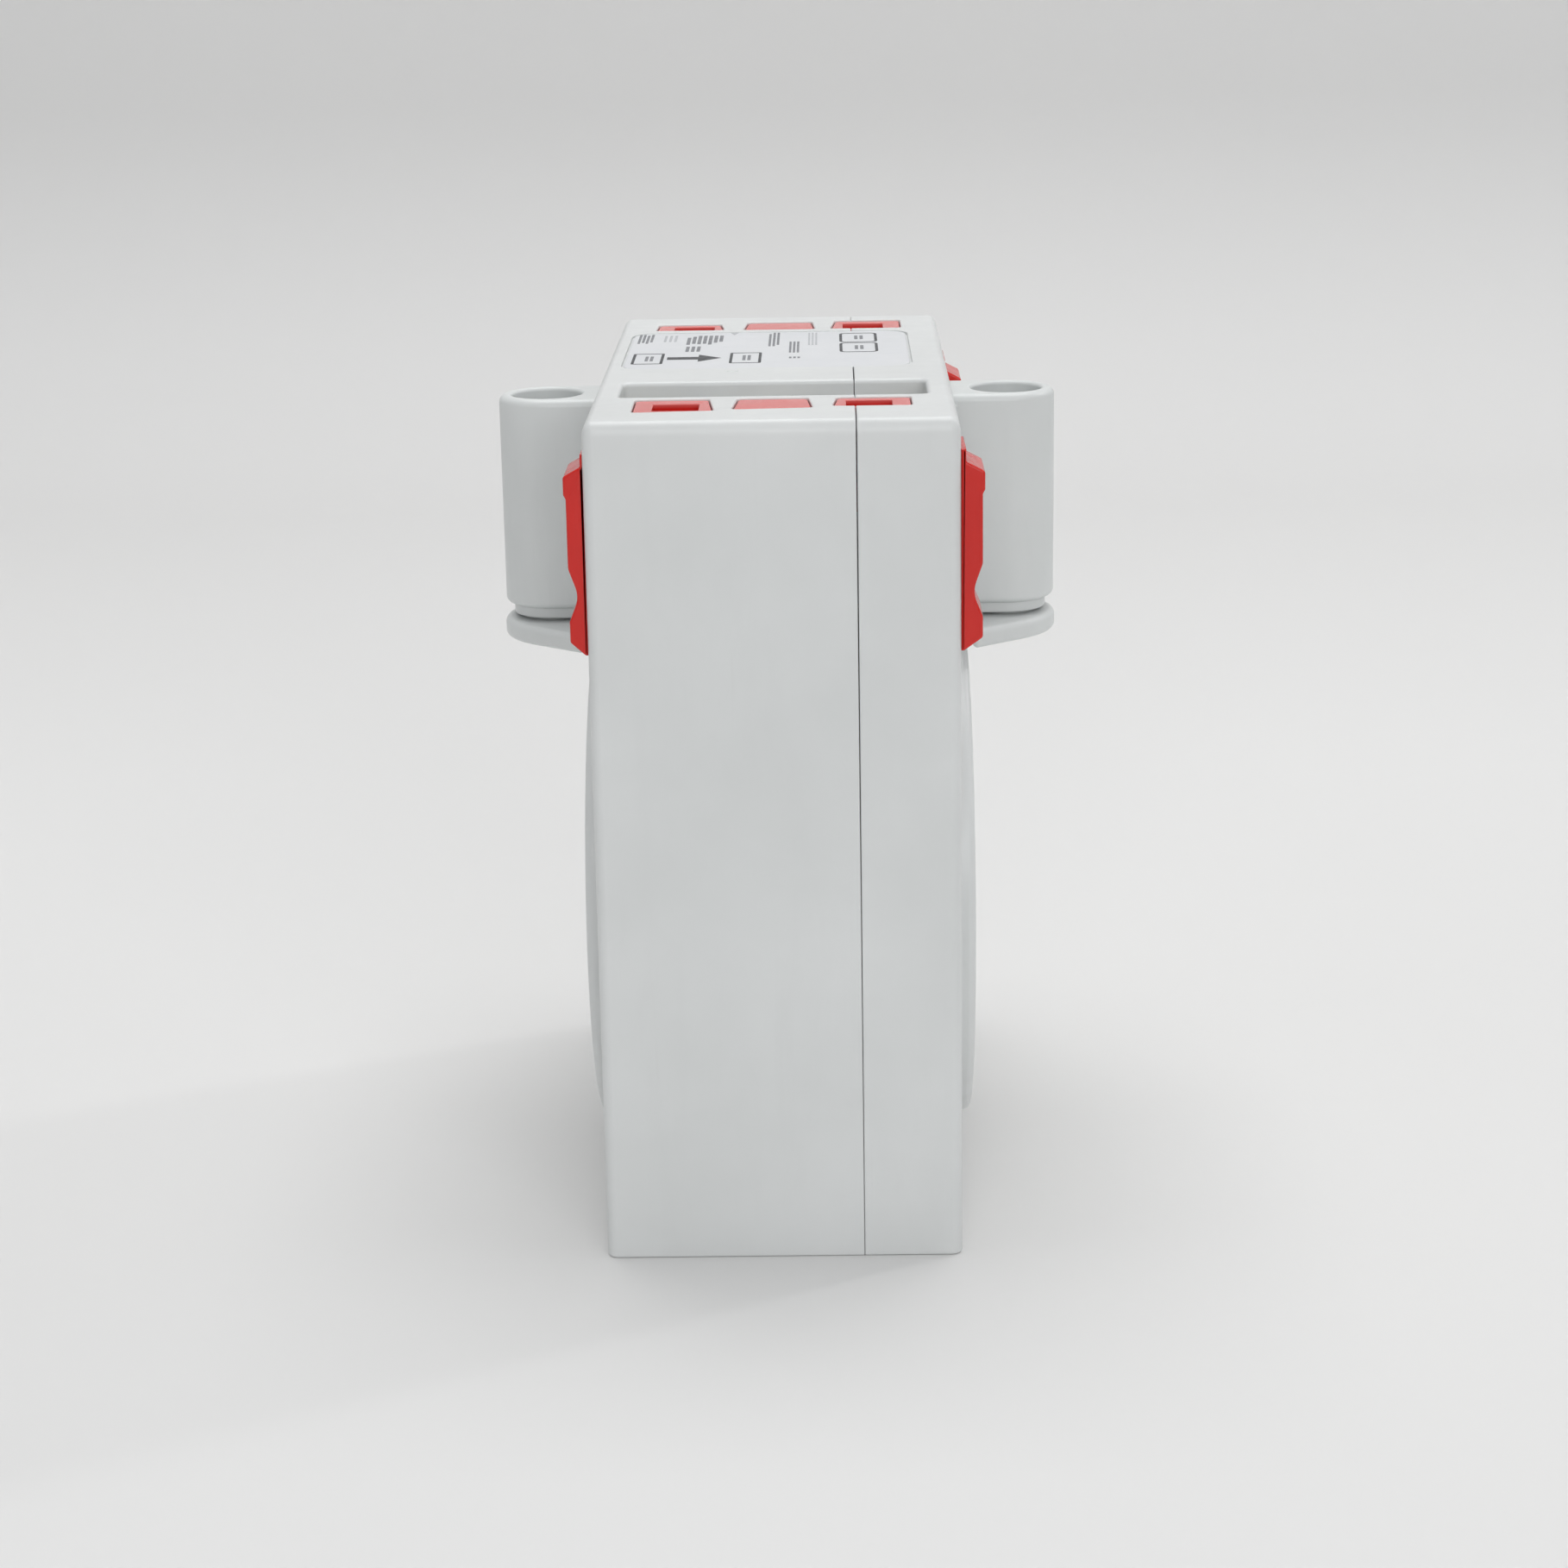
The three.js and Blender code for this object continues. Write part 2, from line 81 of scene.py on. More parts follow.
def round_poly(pts, r, n=5):
    """A polygon with every corner rounded. r is one radius, or one for each corner."""
    pts = ccw(pts)
    m = len(pts)
    out = []
    for i in range(m):
        rr = r[i] if isinstance(r, (list, tuple)) else r
        p, a, b = Vector(pts[i]), Vector(pts[i - 1]), Vector(pts[(i + 1) % m])
        u, v = (a - p).normalized(), (b - p).normalized()
        half = math.acos(max(-1, min(1, u.dot(v)))) / 2
        if rr < 1e-6 or half > math.pi / 2 - 1e-3:
            out.append((p.x, p.y))
            continue
        t = min(rr / math.tan(half), 0.49 * (a - p).length, 0.49 * (b - p).length)
        rr = t * math.tan(half)
        c = p + (u + v).normalized() * (rr / math.sin(half))
        s, e = p + u * t - c, p + v * t - c
        turn = s.angle_signed(e)
        for k in range(n + 1):
            w = Matrix.Rotation(-turn * k / n, 2) @ s
            out.append((c.x + w.x, c.y + w.y))
    return clean(out)


def offset(pts, d):
    """Each point of an anticlockwise outline moved outwards by d."""
    m = len(pts)
    out = []
    for i in range(m):
        p, a, b = pts[i], pts[i - 1], pts[(i + 1) % m]
        n1 = (p[1] - a[1], a[0] - p[0])
        n2 = (b[1] - p[1], p[0] - b[0])
        l1, l2 = math.hypot(*n1) or 1, math.hypot(*n2) or 1
        n1, n2 = (n1[0] / l1, n1[1] / l1), (n2[0] / l2, n2[1] / l2)
        k = 1 + n1[0] * n2[0] + n1[1] * n2[1]
        k = max(k, 0.3)
        out.append((p[0] + d * (n1[0] + n2[0]) / k, p[1] + d * (n1[1] + n2[1]) / k))
    return out


AXES = {"z": lambda a, b, t: (a, b, t), "x": lambda a, b, t: (t, a, b), "y": lambda a, b, t: (b, t, a)}


def loft(outline, stations, axis="z"):
    """A closed solid along an axis. stations are (position, outward offset) pairs, in rising order.
    The outline is (x, y) for z, (y, z) for x and (z, x) for y."""
    outline = ccw(outline)
    to = AXES[axis]
    bm = bmesh.new()
    rows = []
    for t, d in stations:
        ring = offset(outline, d) if abs(d) > 1e-9 else outline
        rows.append([bm.verts.new(to(a, b, t)) for a, b in ring])
    n = len(outline)
    for lo, hi in zip(rows, rows[1:]):
        for i in range(n):
            j = (i + 1) % n
            bm.faces.new((lo[i], lo[j], hi[j], hi[i]))
    bm.faces.new(rows[0][::-1])
    bm.faces.new(rows[-1])
    return bm


def fillet_in(t, r, n=5, sign=1):
    """Stations of a rounded end that closes in by r: sign 1 for the top end, which is at t."""
    st = [(t - sign * r * (1 - math.sin(math.pi / 2 * k / n)), -r * (1 - math.cos(math.pi / 2 * k / n))) for k in range(n + 1)]
    return st if sign > 0 else st[::-1]


def flare(t, r, n=5, sign=1, past=2.0):
    """Stations of a cutter's mouth at a surface at t, so that it leaves a lip of radius r."""
    st = [(t - sign * r * (1 - math.sin(math.pi / 2 * k / n)), r * (1 - math.cos(math.pi / 2 * k / n))) for k in range(n + 1)]
    st.append((t + sign * past, r))
    return st if sign > 0 else st[::-1]


def lathe(profile, n=64, axis="z", at=(0, 0), phase=0.0):
    """A solid of revolution. profile is (r, t), with r 0 at both ends, or closed on itself."""
    closed = math.dist(profile[0], profile[-1]) < 1e-9
    prof = profile[:-1] if closed else profile
    to = AXES[axis]
    bm = bmesh.new()
    rings = []
    for r, t in prof:
        if r < 1e-9:
            rings.append([bm.verts.new(to(at[0], at[1], t))])
        else:
            rings.append([bm.verts.new(to(at[0] + r * math.cos(2 * math.pi * (i + phase) / n), at[1] + r * math.sin(2 * math.pi * (i + phase) / n), t)) for i in range(n)])
    pairs = list(zip(rings, rings[1:])) + ([(rings[-1], rings[0])] if closed else [])
    for lo, hi in pairs:
        for i in range(n):
            j = (i + 1) % n
            q = [lo[i % len(lo)], lo[j % len(lo)], hi[j % len(hi)], hi[i % len(hi)]]
            q = list(dict.fromkeys(q))
            if len(q) > 2:
                bm.faces.new(q)
    bmesh.ops.recalc_face_normals(bm, faces=bm.faces)
    return bm


def box(x0, x1, y0, y1, z0, z1, r=0.0, seg=2):
    bm = bmesh.new()
    bmesh.ops.create_cube(bm, size=1.0, matrix=Matrix.Translation(((x0 + x1) / 2, (y0 + y1) / 2, (z0 + z1) / 2)) @ Matrix.Diagonal((x1 - x0, y1 - y0, z1 - z0, 1)))
    if r:
        bmesh.ops.bevel(bm, geom=list(bm.edges) + list(bm.verts), offset=r, segments=seg, profile=0.5, affect="EDGES")
    return bm


def temp(bm):
    me = bpy.data.meshes.new("tmp")
    bmesh.ops.recalc_face_normals(bm, faces=bm.faces)
    bm.to_mesh(me)
    bm.free()
    ob = bpy.data.objects.new("tmp", me)
    bpy.context.scene.collection.objects.link(ob)
    return ob


def drop(ob):
    me = ob.data
    bpy.data.objects.remove(ob)
    bpy.data.meshes.remove(me)


def boolean(base, *steps):
    """base and cutters are bmeshes, each step ("+", "-" or "*", bmesh). Returns a bmesh."""
    ob = temp(base)
    for op, cut in steps:
        other = temp(cut)
        md = ob.modifiers.new("b", "BOOLEAN")
        md.operation = {"+": "UNION", "-": "DIFFERENCE", "*": "INTERSECT"}[op]
        md.solver = "MANIFOLD"
        md.object = other
        dg = bpy.context.evaluated_depsgraph_get()
        me = bpy.data.meshes.new_from_object(ob.evaluated_get(dg), depsgraph=dg)
        ob.modifiers.clear()
        old = ob.data
        ob.data = me
        bpy.data.meshes.remove(old)
        drop(other)
    out = bmesh.new()
    out.from_mesh(ob.data)
    drop(ob)
    return out


def join(*bms):
    """Several separate closed shells as one mesh."""
    out = bmesh.new()
    for b in bms:
        me = bpy.data.meshes.new("j")
        b.to_mesh(me)
        b.free()
        out.from_mesh(me)
        bpy.data.meshes.remove(me)
    return out


def mirrored(bm, axis):
    out = bm.copy()
    m = [1, 1, 1]
    m[axis] = -1
    bmesh.ops.transform(out, matrix=Matrix.Diagonal((*m, 1)), verts=out.verts)
    bmesh.ops.reverse_faces(out, faces=out.faces)
    return out


def piece(name, bm, material, body, nodes=(), angle=32, weld=0.004, split=True):
    """Makes the finished object, in metres: welded, smooth within angle, with area-weighted normals."""
    bmesh.ops.remove_doubles(bm, verts=bm.verts, dist=weld)
    if split:
        big = [f for f in bm.faces if len(f.verts) > 4]
        bmesh.ops.triangulate(bm, faces=big, quad_method="BEAUTY", ngon_method="BEAUTY")
    bmesh.ops.transform(bm, matrix=Matrix.Diagonal((MM, MM, MM, 1)), verts=bm.verts)
    me = bpy.data.meshes.new(name)
    bm.to_mesh(me)
    bm.free()
    ob = bpy.data.objects.new(name, me)
    bpy.context.scene.collection.objects.link(ob)
    me.shade_smooth()
    me.set_sharp_from_angle(angle=math.radians(angle))
    wn = ob.modifiers.new("weighted", "WEIGHTED_NORMAL")
    wn.keep_sharp = True
    wn.mode = "FACE_AREA"
    wn.weight = 80
    me.materials.append(material)
    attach(ob, body)
    if nodes:
        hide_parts(*nodes)
    return ob


# ------------------------------------------------------------------ materials


class Nodes:
    def __init__(self, name, metallic=0.0, specular=0.5, coat=0.0, coat_rough=0.1, ior=1.5):
        self.mat = bpy.data.materials.new(name)
        self.mat.use_nodes = True
        self.t = self.mat.node_tree
        self.b = self.t.nodes["Principled BSDF"]
        self.b.inputs["Metallic"].default_value = metallic
        self.b.inputs["Specular IOR Level"].default_value = specular
        self.b.inputs["IOR"].default_value = ior
        self.b.inputs["Coat Weight"].default_value = coat
        self.b.inputs["Coat Roughness"].default_value = coat_rough
        self.co = self.t.nodes.new("ShaderNodeTexCoord").outputs["Object"]

    def add(self, kind, **inputs):
        n = self.t.nodes.new(kind)
        for k, v in inputs.items():
            key = k.replace("_", " ")
            if hasattr(v, "is_output") or isinstance(v, bpy.types.NodeSocket):
                self.t.links.new(v, n.inputs[key])
            elif key in n.inputs:
                n.inputs[key].default_value = v
            else:
                setattr(n, k, v)
        return n

    def scale(self, x, y, z):
        n = self.add("ShaderNodeMapping", Vector=self.co)
        n.inputs["Scale"].default_value = (x, y, z)
        return n.outputs["Vector"]

    def noise(self, scale, detail=3.0, rough=0.5, vector=None, distortion=0.0):
        return self.add("ShaderNodeTexNoise", Vector=vector or self.co, Scale=scale, Detail=detail, Roughness=rough, Distortion=distortion).outputs["Fac"]

    def remap(self, value, a, b, c, d):
        n = self.add("ShaderNodeMapRange", Value=value)
        for key, v in (("From Min", a), ("From Max", b), ("To Min", c), ("To Max", d)):
            n.inputs[key].default_value = v
        return n.outputs["Result"]

    def math(self, op, a, b=0.5):
        n = self.t.nodes.new("ShaderNodeMath")
        n.operation = op
        for i, v in enumerate((a, b)):
            if isinstance(v, bpy.types.NodeSocket):
                self.t.links.new(v, n.inputs[i])
            else:
                n.inputs[i].default_value = v
        return n.outputs[0]

    def mix(self, fac, a, b):
        n = self.t.nodes.new("ShaderNodeMix")
        n.data_type = "RGBA"
        for key, v in ((0, fac), (6, a), (7, b)):
            if isinstance(v, bpy.types.NodeSocket):
                self.t.links.new(v, n.inputs[key])
            elif key == 0:
                n.inputs[0].default_value = v
            else:
                n.inputs[key].default_value = (*v, 1.0)
        return n.outputs[2]

    def bump(self, height, strength, distance, normal=None):
        n = self.add("ShaderNodeBump", Height=height, Strength=strength, Distance=distance)
        if normal:
            self.t.links.new(normal, n.inputs["Normal"])
        return n.outputs["Normal"]

    def out(self, color=None, rough=None, normal=None):
        for key, v in (("Base Color", color), ("Roughness", rough), ("Normal", normal)):
            if v is None:
                continue
            if isinstance(v, bpy.types.NodeSocket):
                self.t.links.new(v, self.b.inputs[key])
            else:
                self.b.inputs[key].default_value = (*v, 1.0) if key == "Base Color" else v
        return self.mat


def moulded(name, low, high, rough=(0.26, 0.40), grain=0.10, scuff=0.5, dirt=(0.42, 0.40, 0.36), specular=0.5, painted_sheen=None):
    """Injection moulded plastic: slow tint drift, flow marks, fine spark texture, faint scuffs and specks."""
    n = Nodes(name, specular=specular)
    drift = n.noise(45, 3, 0.55)
    flow = n.noise(160, 4, 0.6, vector=n.scale(1.0, 1.0, 0.18), distortion=0.6)
    base = n.mix(n.remap(drift, 0.35, 0.68, 0, 1), low, high)
    base = n.mix(n.remap(flow, 0.52, 0.80, 0.0, 0.35), base, tuple(c * 0.94 for c in low))
    # long thin handling marks, and small specks
    rub = n.noise(900, 2, 0.5, vector=n.scale(1.0, 1.0, 0.06), distortion=0.3)
    rub = n.math("MULTIPLY", n.remap(rub, 0.66, 0.78, 0.0, 1.0), n.remap(n.noise(70, 2), 0.48, 0.66, 0.0, 0.10 * scuff))
    base = n.mix(rub, base, dirt)
    v = n.add("ShaderNodeTexVoronoi", Vector=n.co, Scale=120.0)
    speck = n.remap(v.outputs["Distance"], 0.022, 0.040, 1.0, 0.0)
    keep = n.remap(n.noise(38, 1), 0.62, 0.66, 0.0, 0.55 * scuff)
    base = n.mix(n.math("MULTIPLY", speck, keep), base, tuple(c * 0.5 for c in dirt))
    if painted_sheen:
        # painted sheen: the uppermost faces are mixed towards a pale tint, which stands in for the bright reflection
        # they show at a grazing view
        sep = n.add("ShaderNodeSeparateXYZ", Vector=n.co)
        base = n.mix(n.remap(sep.outputs["Z"], 94.3 * MM, 94.7 * MM, 0.0, 0.38), base, painted_sheen)
    wave = n.noise(300, 3, 0.55)
    r = n.remap(wave, 0.3, 0.7, rough[0], rough[1])
    fine = n.noise(5200, 2, 0.5)
    sink = n.noise(55, 1, 0.4)
    normal = n.bump(fine, grain, 0.000018)
    normal = n.bump(sink, 0.10, 0.00035, normal)
    return n.out(base, r, normal)


case_mat = moulded("case_plastic", (0.674, 0.688, 0.684), (0.716, 0.729, 0.726), rough=(0.30, 0.42))
# painted sheen: the red's pale pink on its uppermost faces stands in for the reflection of the bright surroundings at a
# grazing view
red_mat = moulded("red_plastic", (0.580, 0.015, 0.010), (0.650, 0.021, 0.014), rough=(0.15, 0.24), grain=0.08, scuff=0.2, dirt=(0.30, 0.02, 0.015), specular=0.42, painted_sheen=(0.84, 0.30, 0.28))
tube_mat = moulded("tube_plastic", (0.640, 0.660, 0.655), (0.682, 0.701, 0.696), rough=(0.30, 0.42))
carrier_mat = moulded("carrier_plastic", (0.74, 0.75, 0.74), (0.79, 0.80, 0.79), rough=(0.42, 0.55), scuff=0.2)


def metal(name, low, high, rough=(0.25, 0.42), scratch=(1.0, 1.0, 8.0), spots=None):
    n = Nodes(name, metallic=1.0)
    drift = n.noise(700, 3, 0.55)
    base = n.mix(n.remap(drift, 0.35, 0.65, 0, 1), low, high)
    if spots:
        base = n.mix(n.remap(n.noise(420, 4, 0.6), 0.56, 0.72, 0.0, 0.6), base, spots)
    line = n.noise(2600, 3, 0.6, vector=n.scale(*scratch))
    r = n.remap(line, 0.3, 0.7, rough[0], rough[1])
    return n.out(base, r, n.bump(line, 0.12, 0.00002))


steel_mat = metal("zinc_steel", (0.55, 0.56, 0.57), (0.66, 0.67, 0.68), spots=(0.48, 0.49, 0.46))
brass_mat = metal("brass_metal", (0.66, 0.47, 0.20), (0.74, 0.56, 0.27), spots=(0.45, 0.30, 0.13))
core_mat = metal("core_strip", (0.20, 0.21, 0.23), (0.27, 0.28, 0.30), rough=(0.4, 0.6))


def wound(name, low, high, pitch, metallic, gloss):
    """Wire or tape wound round the ring: bands across it, by the angle about the window axis."""
    n = Nodes(name, metallic=metallic)
    sep = n.add("ShaderNodeSeparateXYZ", Vector=n.co)
    ang = n.math("ARCTAN2", n.math("SUBTRACT", sep.outputs["Z"], AZ * MM), sep.outputs["Y"])
    wave = n.math("SINE", n.math("MULTIPLY", ang, pitch), 0)
    base = n.mix(n.remap(wave, -1, 1, 0, 1), low, high)
    base = n.mix(n.remap(n.noise(180, 3), 0.4, 0.7, 0, 0.4), base, tuple(c * 0.8 for c in low))
    return n.out(base, n.remap(n.noise(900, 2), 0.3, 0.7, gloss, gloss + 0.15), n.bump(wave, 0.5, 0.0001))


copper_mat = wound("enamelled_copper", (0.42, 0.16, 0.07), (0.62, 0.27, 0.13), 420.0, 0.9, 0.28)
tape_mat = wound("polyester_tape", (0.62, 0.50, 0.14), (0.72, 0.60, 0.20), 60.0, 0.0, 0.35)
bobbin_mat = moulded("bobbin_plastic", (0.018, 0.018, 0.020), (0.026, 0.026, 0.028), rough=(0.45, 0.6), scuff=0.2, dirt=(0.08, 0.08, 0.08))


def foam_material():
    n = Nodes("cell_foam", specular=0.2)
    v = n.add("ShaderNodeTexVoronoi", Vector=n.co, Scale=1800.0)
    base = n.mix(n.remap(v.outputs["Distance"], 0.1, 0.7, 0, 1), (0.05, 0.05, 0.055), (0.11, 0.11, 0.12))
    return n.out(base, n.remap(n.noise(400), 0.3, 0.7, 0.8, 0.95), n.bump(v.outputs["Distance"], 0.5, 0.0002))


foam_mat = foam_material()


def film_material():
    n = Nodes("label_film", specular=0.5)
    base = n.mix(n.remap(n.noise(60, 2), 0.35, 0.65, 0, 1), (0.675, 0.688, 0.710), (0.706, 0.716, 0.734))
    base = n.mix(n.remap(n.noise(2400, 2), 0.55, 0.75, 0.0, 0.25), base, (0.64, 0.65, 0.67))
    normal = n.bump(n.noise(120, 2), 0.15, 0.0001, n.bump(n.noise(4000, 2), 0.08, 0.00002))
    return n.out(base, n.remap(n.noise(220, 3), 0.3, 0.7, 0.30, 0.42), normal)


film_mat = film_material()


def ink_material(name, low, high):
    n = Nodes(name, specular=0.4)
    base = n.mix(n.remap(n.noise(3500, 3, 0.6), 0.35, 0.65, 0, 1), low, high)
    return n.out(base, n.remap(n.noise(900, 2), 0.3, 0.7, 0.40, 0.55), n.bump(n.noise(5000, 2), 0.1, 0.00001))


ink_mat = ink_material("print_dark", (0.030, 0.032, 0.036), (0.075, 0.078, 0.085))
grey_ink_mat = ink_material("print_grey", (0.16, 0.165, 0.18), (0.26, 0.265, 0.28))
pale_ink_mat = ink_material("print_light", (0.42, 0.43, 0.45), (0.52, 0.53, 0.55))

# ------------------------------------------------------------------ case and cover
SIDE = round_rect(-HX, HX, -HY, HY, 1.2, 8)
TOP_EDGE = [(H - 1.75 * (1 - math.sin(math.pi / 2 * k / 9)), -1.15 * (1 - math.cos(math.pi / 2 * k / 9))) for k in range(10)]
block = loft(SIDE, [(0.0, -0.30), (0.10, -0.10), (0.32, 0.0)] + TOP_EDGE)


def boss_profile():
    """One side's boss, from inside the case out to its face: a small run-out fillet and a rounded rim."""
    x0, r1, r2 = HX, 0.55, 0.9
    pts = [(0.0, x0 - 3), (BOSS_R + r1, x0 - 3), (BOSS_R + r1, x0 - 0.01)]
    for k in range(1, 6):
        a = math.pi / 2 * k / 5
        pts.append((BOSS_R + r1 - r1 * math.sin(a), x0 + r1 * (1 - math.cos(a)) - 0.01))
    for k in range(0, 7):
        a = math.pi / 2 * k / 6
        pts.append((BOSS_R - r2 + r2 * math.cos(a), BOSS_X - r2 + r2 * math.sin(a)))
    pts.append((0.0, BOSS_X))
    return pts


def window_outline():
    """A circle joined with a lying and an upright bar slot, with its corners eased."""
    R, L, w, q, c = 18.0, 20.5, 5.5, 1.2, 0.8
    cy = w + q
    cx = math.sqrt((R + q) ** 2 - cy ** 2)
    out = []
    for k in range(4):
        a = math.radians(90 * k)
        ring = []
        ring += arc(L - c, w - c, c, 0, 90, 5)
        end = math.degrees(math.atan2(cy, cx))
        ring += arc(cx, cy, q, 270, 180 + end, 5)
        ring += arc(0, 0, R, end, 90 - end, 22)
        e2 = math.degrees(math.atan2(cx, cy))
        ring += arc(cy, cx, q, 180 + e2, 180, 5)
        ring += arc(w - c, L - c, c, 0, 90, 5)
        if k % 2:
            pass
        out.append([(x * math.cos(a) - y * math.sin(a), x * math.sin(a) + y * math.cos(a)) for x, y in ring])
    # each quarter covers its first bar's upper corner to the next bar's near corner
    pts = [p for q4 in out for p in q4]
    return clean([(x, y + AZ) for x, y in pts], 1e-3)


def both_sides(maker):
    a = maker()
    return a, mirrored(a, 0)


boss_r = lathe(boss_profile(), 160, "x", (0, AZ))
boss_l = mirrored(boss_r, 0)

sleeve = lathe([(0, -30), (23.4, -30), (23.4, 30), (0, 30)], 96, "x", (0, AZ))
hollow = boolean(
    box(-HX + WALL, HX - WALL, -HY + WALL, HY - WALL, WALL, H - WALL),
    ("+", lathe([(0, -BOSS_X + WALL), (27.8, -BOSS_X + WALL), (27.8, BOSS_X - WALL), (0, BOSS_X - WALL)], 96, "x", (0, AZ))),
    ("-", sleeve),
    ("-", box(-18.4, 18.4, -24.9, -11.8, 82.6, 100)),
    ("-", box(-30, -13.5, -50, -28, 82.2, 84.3)), ("-", box(13.5, 30, -50, -28, 82.2, 84.3)),
    ("-", box(-30, -13.5, 28, 50, 82.2, 84.3)), ("-", box(13.5, 30, 28, 50, 82.2, 84.3)),
)
window_cut = loft(window_outline(), flare(-BOSS_X, 0.8, 5, -1) + flare(BOSS_X, 0.8, 5, 1), "x")
chamber_cut = loft(round_rect(-17, 17, -23.5, -13.2, 0.9, 5), [(84.0, 0.0)] + flare(H, 0.55, 6))
recess_cut = loft(round_rect(-18.0, 15.9, -3.3, 26.25, 3.1, 8), [(94.70, 0.0)] + flare(H, 0.08, 3))

PADS = {
    -1: [(-14.9, -6.3, 0.0, 0.7, -33.7, -33.1, -25.3), (-4.2, 4.3, 0.5, 0.5, -32.4, -31.9, -25.3), (6.6, 15.0, 0.5, 0.0, -31.0, -31.1, -25.3)],
    1: [(-15.2, -6.9, 0.2, 0.5, 28.3, 28.3, 33.5), (-4.3, 4.4, 0.4, 0.4, 28.1, 28.1, 34.7), (6.5, 15.1, 0.6, 0.0, 28.3, 28.3, 35.4)],
}


def pads(side):
    return [[(x0, ya), (x1, yb), (x1 - t1, yc), (x0 + t0, yc)] for x0, x1, t0, t1, ya, yb, yc in PADS[side]]


pad_cuts = [loft(offset(round_poly(p, 0.5), 0.12), [(92.0, 0.0)] + flare(H, 0.20, 4)) for side in (-1, 1) for p in pads(side)]
arm_cuts = [box(x, x + 4, *y, 84.3, 91.1) for x in (-21, 17) for y in ((-38.0, -31.0), (25.5, 32.5))]
tail_cuts = [box(-14.8, -12.6, -20.5, -15.5, 80, 85), box(12.6, 14.8, -20.5, -15.5, 80, 85)]


def arrow_cut(y, tip):
    """A shallow mark for the centre of the primary: a small triangle sunk in the top."""
    return loft([(-5.6, y), (-4.2, y), (-4.9, tip)], [(94.955, 0.0), (97.0, 0.0)])


body = boolean(
    block, ("+", boss_r), ("+", boss_l), ("-", hollow), ("-", window_cut), ("-", chamber_cut), ("-", recess_cut),
    *[("-", c.copy()) for c in pad_cuts],
    *[("-", c.copy()) for c in arm_cuts],
    *[("-", c) for c in tail_cuts],
    ("-", arrow_cut(-5.6, -8.4)),
)
for c in pad_cuts + arm_cuts:
    c.free()

# the two halves: each is trimmed by a block whose edge at the seam is eased. The joint closes towards the base.
OUT = round_poly([(-HY, 0.0), (HY, 0.0), (HY, H), (-HY, H)], [0.3, 0.3, 1.3, 1.3], 7)


def trim(stations, wide, tight):
    bm = loft(OUT, stations, "x")
    for v in bm.verts:
        if abs(v.co.x - SEAM) < 1.0:
            gap = wide + (tight - wide) * min(1.0, max(0.0, (78.0 - v.co.z) / 55.0))
            v.co.x += gap if v.co.x > SEAM else -gap
    return bm


trim_main = trim([(-60.0, 8.0), (SEAM - 0.16, 8.0), (SEAM - 0.16, 0.02), (SEAM - 0.05, -0.05), (SEAM - 0.005, -0.16)], 0.045, 0.005)
trim_cover = trim([(SEAM + 0.005, -0.16), (SEAM + 0.05, -0.05), (SEAM + 0.16, 0.02), (SEAM + 0.16, 8.0), (60.0, 8.0)], 0.045, 0.005)
main_bm = boolean(body.copy(), ("*", trim_main))
cover_bm = boolean(body, ("*", trim_cover))
piece("main_case_shell", main_bm, case_mat, "case", ["main_case"])
piece("case_cover_shell", cover_bm, case_mat, "case", ["case_cover"])

# ------------------------------------------------------------------ guide tubes
def u_outline(cx, r, back, n=40):
    return [(back, -r)] + arc(cx, 0, r, -90, 90, n) + [(back, r)]


def tube():
    upper = loft(u_outline(TUBE_X, TUBE_R, 17.0), fillet_in(67.2, 0.75, 5, -1) + fillet_in(TUBE_TOP, 0.95, 7))
    neck = loft(u_outline(TUBE_X, TUBE_R - 0.95, 17.0), [(65.92, -0.15), (66.05, 0.0), (69.5, 0.0)])
    bore = lathe([(0, 60), (TUBE_BORE + 0.35, 60), (TUBE_BORE + 0.35, 65.92)]
                 + [(TUBE_BORE + 0.35 * (1 - math.sin(math.pi / 2 * k / 4)), 65.92 + 0.35 * (1 - math.cos(math.pi / 2 * k / 4))) for k in range(1, 5)]
                 + [(TUBE_BORE + 0.45 * (1 - math.cos(math.pi / 2 * k / 5)), TUBE_TOP - 0.45 + 0.45 * math.sin(math.pi / 2 * k / 5)) for k in range(6)]
                 + [(TUBE_BORE + 0.45, 96), (0, 96)], 72, "z", (TUBE_X, 0))
    # webs that run the tube's flanks out into the case wall
    web = loft(round_poly([(18.0, -7.0), (20.0, -7.0), (20.5, -6.0), (21.2, -5.5), (22.2, -5.4), (22.2, 5.4), (21.2, 5.5), (20.5, 6.0), (20.0, 7.0), (18.0, 7.0)], 0.5, 4),
               fillet_in(68.0, 0.5, 3, -1) + fillet_in(90.9, 0.5, 3))
    return boolean(upper, ("+", neck), ("+", web), ("*", box(HX + 0.0, 60, -20, 20, 0, 120)), ("-", bore))


t = tube()
piece("guide_tube_left_shell", mirrored(t, 0), tube_mat, "case", ["guide_tube_left"], split=False)
piece("guide_tube_right_shell", t, tube_mat, "case", ["guide_tube_right"], split=False)


def insert():
    r0, r1, z0, z1 = 2.75, 3.85, 67.6, 70.8
    ring = lathe([(r0 + 0.2, z0), (r1 - 0.2, z0), (r1, z0 + 0.2), (r1, z1 - 0.2), (r1 - 0.2, z1), (r0 + 0.25, z1), (r0, z1 - 0.25), (r0, z0 + 0.25), (r0 + 0.2, z0)], 96, "z", (TUBE_X, 0))
    # straight knurl on the outside
    for v in ring.verts:
        d = Vector((v.co.x - TUBE_X, v.co.y))
        if d.length > r1 - 0.05:
            a = math.atan2(d.y, d.x)
            k = round(a / (2 * math.pi) * 96)
            if k % 2:
                d *= (r1 - 0.14) / d.length
                v.co.x, v.co.y = TUBE_X + d.x, d.y
    return ring


i_bm = insert()
piece("insert_left", mirrored(i_bm, 0), brass_mat, "case", ["threaded_insert_left"])
piece("insert_right", i_bm, brass_mat, "case", ["threaded_insert_right"])


